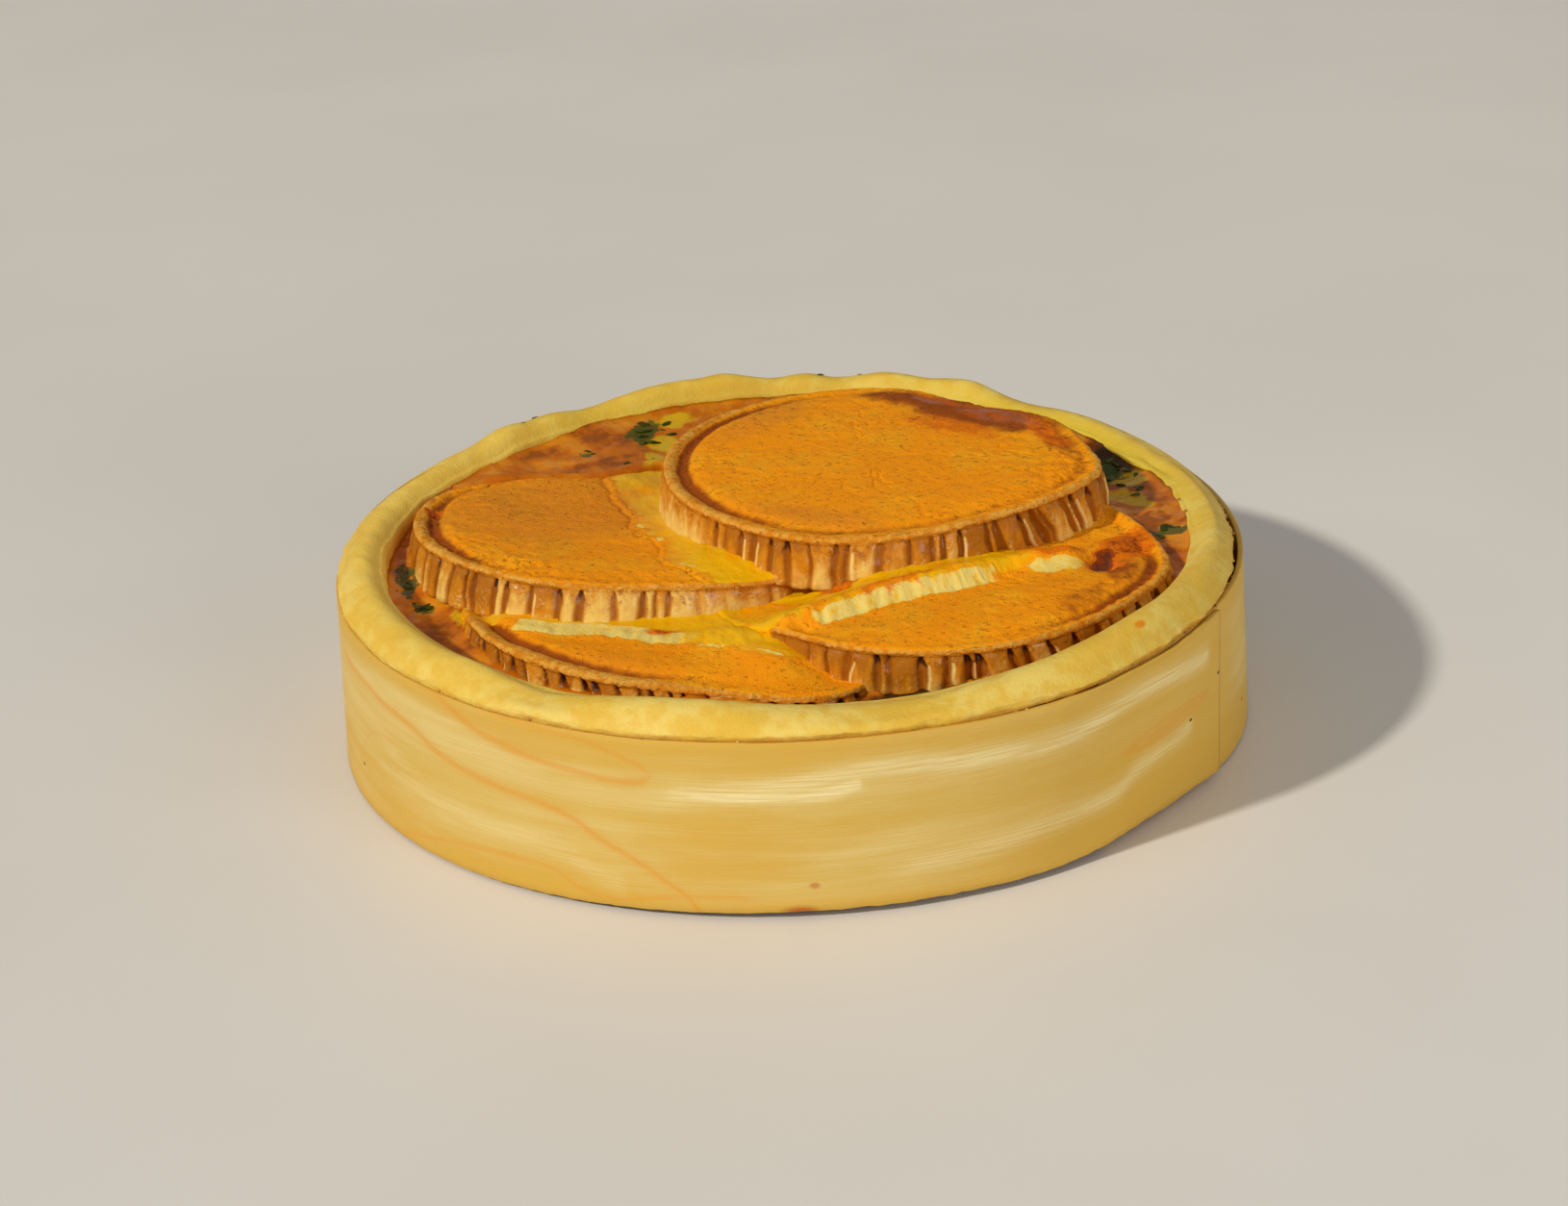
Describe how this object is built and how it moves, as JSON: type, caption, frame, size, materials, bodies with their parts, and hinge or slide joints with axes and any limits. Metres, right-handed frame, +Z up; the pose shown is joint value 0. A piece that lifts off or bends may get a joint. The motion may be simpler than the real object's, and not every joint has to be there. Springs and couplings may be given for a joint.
{
  "type": "goat cheese spinach quiche",
  "caption": "Round whole quiche baked in a bent veneer band: shortcrust shell with a rolled rim, browned spinach custard and overlapping rounds of ridged goat cheese.",
  "frame": {"origin": "centre of the quiche's underside, on the surface it stands on", "axes": "+Z up through the quiche, -Y towards the front, where the front cheese round lies, +X to the right, where the band's ends lap"},
  "size_m": [0.1718, 0.1718, 0.0453],
  "materials": {
    "veneer": "pale raw poplar veneer with a fine grain, satin",
    "pastry": "pale golden shortcrust, matte",
    "custard": "browned egg custard with spinach, wet gloss",
    "cheese": "baked goat cheese, matte orange skin and a satin caramel and cream rind"
  },
  "bodies": {
    "root": {"wood_band": "veneer", "crust": "pastry", "custard": "custard", "cheese_round_back": "cheese", "cheese_round_left": "cheese", "cheese_round_right": "cheese", "cheese_round_front": "cheese"}
  },
  "joints": []
}
